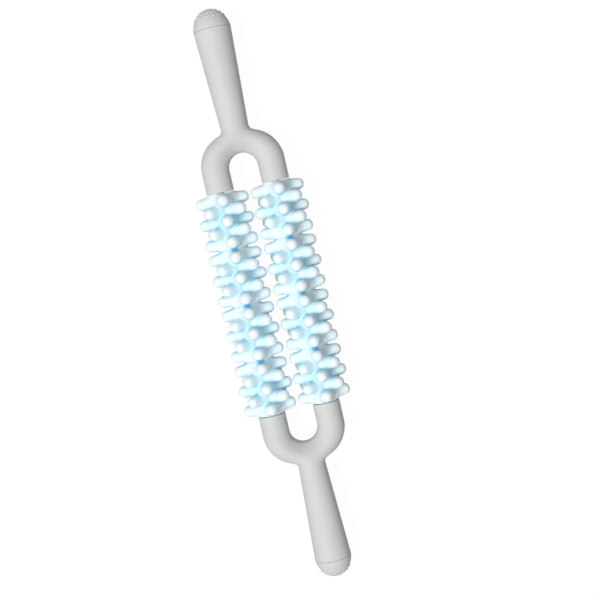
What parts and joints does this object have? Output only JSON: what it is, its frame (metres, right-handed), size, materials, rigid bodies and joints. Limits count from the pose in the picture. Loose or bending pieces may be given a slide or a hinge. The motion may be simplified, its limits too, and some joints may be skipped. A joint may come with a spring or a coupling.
{
  "type": "massage roller stick",
  "caption": "Two-handed massage stick: two parallel rollers of free-spinning spiky rubber wheels on steel axles between two forked plastic handles with domed caps.",
  "frame": {"origin": "middle of the stick, midway between the two axles", "axes": "+X along the stick to the upper grip, +Y to the left roller, +Z to the front, away from the screws"},
  "size_m": [0.46, 0.0874, 0.0432],
  "materials": {
    "handle_plastic": "matte moulded, light grey",
    "spiky_rubber": "soft translucent, pale blue",
    "hub_plastic": "matte moulded, off-white",
    "bush_plastic": "matte moulded, off-white",
    "axle_steel": "drawn steel",
    "screw_steel": "zinc-plated steel"
  },
  "bodies": {
    "frame": {"upper_front_shell": "handle_plastic", "upper_rear_shell": "handle_plastic", "upper_end_cap": "handle_plastic", "upper_shell_screws": "screw_steel", "upper_left_bush": "bush_plastic", "upper_right_bush": "bush_plastic", "lower_front_shell": "handle_plastic", "lower_rear_shell": "handle_plastic", "lower_end_cap": "handle_plastic", "lower_shell_screws": "screw_steel", "lower_left_bush": "bush_plastic", "lower_right_bush": "bush_plastic", "left_axle": "axle_steel", "left_axle_nuts": "axle_steel", "right_axle": "axle_steel", "right_axle_nuts": "axle_steel"},
    "left_wheel_1": {"left_hub_1": "hub_plastic", "left_sleeve_1": "spiky_rubber"},
    "left_wheel_2": {"left_hub_2": "hub_plastic", "left_sleeve_2": "spiky_rubber"},
    "left_wheel_3": {"left_hub_3": "hub_plastic", "left_sleeve_3": "spiky_rubber"},
    "left_wheel_4": {"left_hub_4": "hub_plastic", "left_sleeve_4": "spiky_rubber"},
    "right_wheel_1": {"right_hub_1": "hub_plastic", "right_sleeve_1": "spiky_rubber"},
    "right_wheel_2": {"right_hub_2": "hub_plastic", "right_sleeve_2": "spiky_rubber"},
    "right_wheel_3": {"right_hub_3": "hub_plastic", "right_sleeve_3": "spiky_rubber"},
    "right_wheel_4": {"right_hub_4": "hub_plastic", "right_sleeve_4": "spiky_rubber"}
  },
  "joints": [
    {"name": "left_wheel_1_spin", "type": "hinge", "parent": "frame", "child": "left_wheel_1", "pos_m": [0.06698, 0.02215, 0], "axis": [1, 0, 0], "continuous": true},
    {"name": "left_wheel_2_spin", "type": "hinge", "parent": "frame", "child": "left_wheel_2", "pos_m": [0.02233, 0.02215, 0], "axis": [1, 0, 0], "continuous": true},
    {"name": "left_wheel_3_spin", "type": "hinge", "parent": "frame", "child": "left_wheel_3", "pos_m": [-0.02233, 0.02215, 0], "axis": [1, 0, 0], "continuous": true},
    {"name": "left_wheel_4_spin", "type": "hinge", "parent": "frame", "child": "left_wheel_4", "pos_m": [-0.06698, 0.02215, 0], "axis": [1, 0, 0], "continuous": true},
    {"name": "right_wheel_1_spin", "type": "hinge", "parent": "frame", "child": "right_wheel_1", "pos_m": [0.06698, -0.02215, 0], "axis": [1, 0, 0], "continuous": true},
    {"name": "right_wheel_2_spin", "type": "hinge", "parent": "frame", "child": "right_wheel_2", "pos_m": [0.02233, -0.02215, 0], "axis": [1, 0, 0], "continuous": true},
    {"name": "right_wheel_3_spin", "type": "hinge", "parent": "frame", "child": "right_wheel_3", "pos_m": [-0.02233, -0.02215, 0], "axis": [1, 0, 0], "continuous": true},
    {"name": "right_wheel_4_spin", "type": "hinge", "parent": "frame", "child": "right_wheel_4", "pos_m": [-0.06698, -0.02215, 0], "axis": [1, 0, 0], "continuous": true}
  ]
}
